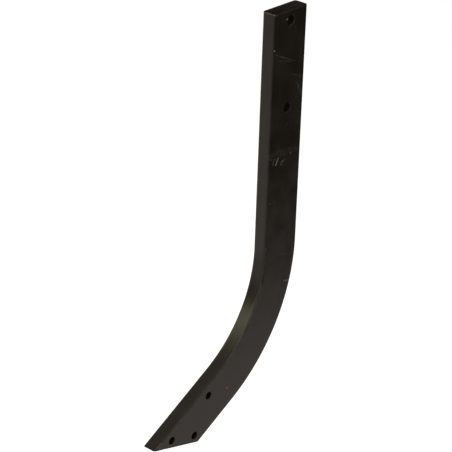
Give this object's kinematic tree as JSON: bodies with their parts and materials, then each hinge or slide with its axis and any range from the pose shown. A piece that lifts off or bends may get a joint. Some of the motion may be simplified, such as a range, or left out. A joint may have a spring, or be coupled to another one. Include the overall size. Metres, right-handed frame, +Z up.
{
  "type": "long tine",
  "caption": "Long curved steel tine: a flat bar bent forward in one sweep, with a slanted foot cut and bolt holes for the frame clamp and for the point it pulls through soil.",
  "frame": {"origin": "midway between the two shank bolt holes, on the bar's middle plane", "axes": "+Z up along the shank, -Y forwards, the way the leg bends and the tine is pulled, +X out of one side face, along the bolts"},
  "size_m": [0.0254, 0.3244, 0.6926],
  "materials": {
    "black_steel": "thin semi-gloss black over rolled steel, lightly scratched"
  },
  "bodies": {
    "root": {"tine": "black_steel"}
  },
  "joints": []
}
